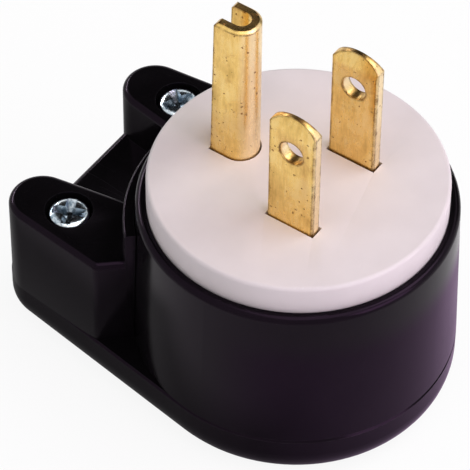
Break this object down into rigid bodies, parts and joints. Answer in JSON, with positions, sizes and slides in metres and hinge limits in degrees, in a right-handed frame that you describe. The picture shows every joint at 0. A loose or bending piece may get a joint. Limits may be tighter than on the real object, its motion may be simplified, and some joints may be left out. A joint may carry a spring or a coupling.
{
  "type": "right-angle rewirable power plug",
  "caption": "Right-angle rewirable grounded power plug: black round body, pale face with flat brass blades and a U-shaped ground pin, cord clamp with screw posts.",
  "frame": {"origin": "centre of the flat back under the round body, on the body's axis", "axes": "+Z along the pins away from the flat back, -Y toward the cord outlet, +X across the two blades"},
  "size_m": [0.0396, 0.0541, 0.0531],
  "materials": {
    "black_nylon": "satin moulded black thermoplastic",
    "pale_nylon": "moulded off-white thermoplastic with a faint warm cast",
    "dark_fibre": "dark insulating sheet",
    "brass": "rolled brass with small dark specks and fine scratches",
    "plated_steel": "bright zinc plate",
    "nickel_plate": "bright nickel plate",
    "green_finish": "green coated steel"
  },
  "bodies": {
    "root": {"back_cover": "black_nylon", "body_shell": "black_nylon", "cord_clamp": "black_nylon", "face_insert": "pale_nylon", "terminal_retainer": "dark_fibre", "neutral_blade": "brass", "line_blade": "brass", "ground_pin": "brass", "line_wire_clamp": "plated_steel", "neutral_wire_clamp": "plated_steel", "ground_wire_clamp": "plated_steel", "line_terminal_screw": "brass", "neutral_terminal_screw": "nickel_plate", "ground_terminal_screw": "green_finish", "clamp_screw_left": "plated_steel", "clamp_screw_right": "plated_steel", "clamp_insert_left": "brass", "clamp_insert_right": "brass", "assembly_screw_front": "plated_steel", "assembly_screw_left": "plated_steel", "assembly_screw_right": "plated_steel"}
  },
  "joints": []
}
